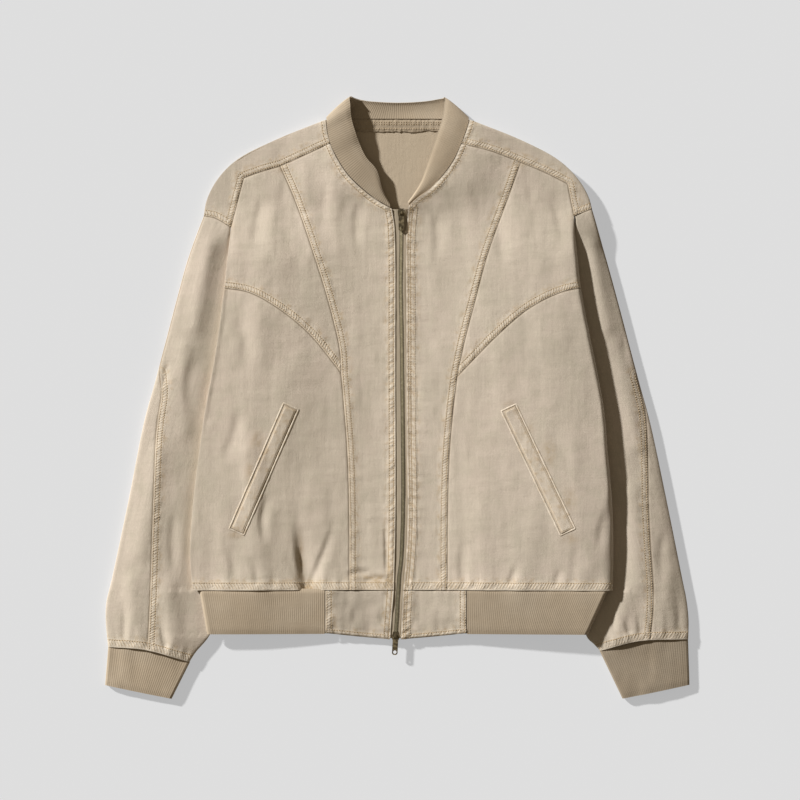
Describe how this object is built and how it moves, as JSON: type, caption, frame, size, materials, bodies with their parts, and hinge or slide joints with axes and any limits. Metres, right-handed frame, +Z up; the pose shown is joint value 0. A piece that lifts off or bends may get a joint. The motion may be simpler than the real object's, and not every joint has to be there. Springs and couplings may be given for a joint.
{
  "type": "varsity jacket",
  "caption": "Bomber-style varsity jacket in washed olive-tan cotton canvas with rib collar, cuffs and hem, slanted welt pockets and a two-way zip, laid flat face up.",
  "frame": {"origin": "middle of the jacket's outline, on the surface it lies on", "axes": "+X to the right as seen from above with the collar away from the viewer, +Y from the hem towards the collar, +Z up from the surface out of the front"},
  "size_m": [0.7324, 0.754, 0.0205],
  "materials": {
    "canvas": "washed, sun-faded cotton canvas, matte",
    "rib_knit": "cotton rib knit, matte",
    "zip_tape": "woven tape, matte",
    "antique_brass": "darkened antique brass, satin"
  },
  "bodies": {
    "garment": {"back_panel": "canvas", "front_center_left": "canvas", "front_center_right": "canvas", "front_side_left": "canvas", "front_side_right": "canvas", "front_chest_left": "canvas", "front_chest_right": "canvas", "shoulder_yoke_left": "canvas", "shoulder_yoke_right": "canvas", "sleeve_front_left": "canvas", "sleeve_front_right": "canvas", "sleeve_back_left": "canvas", "sleeve_back_right": "canvas", "hem_tab_left": "canvas", "hem_tab_right": "canvas", "pocket_welt_left": "canvas", "pocket_welt_right": "canvas", "collar_rib": "rib_knit", "hem_rib": "rib_knit", "cuff_left": "rib_knit", "cuff_right": "rib_knit", "zip_tape_left": "zip_tape", "zip_tape_right": "zip_tape", "zip_chain": "antique_brass", "zip_slider_top": "antique_brass", "zip_slider_bottom": "antique_brass"},
    "pull_top": {"zip_pull_top": "antique_brass"},
    "pull_bottom": {"zip_pull_bottom": "antique_brass"}
  },
  "joints": [
    {"name": "pull_top_hinge", "type": "hinge", "parent": "garment", "child": "pull_top", "pos_m": [0.00507, 0.2311, 0.00968], "axis": [-1, 0, 0], "range_deg": [0, 165]},
    {"name": "pull_bottom_hinge", "type": "hinge", "parent": "garment", "child": "pull_bottom", "pos_m": [-0.00206, -0.2984, 0.00858], "axis": [-0.9986, 0.0523, 0], "range_deg": [0, 165]}
  ]
}
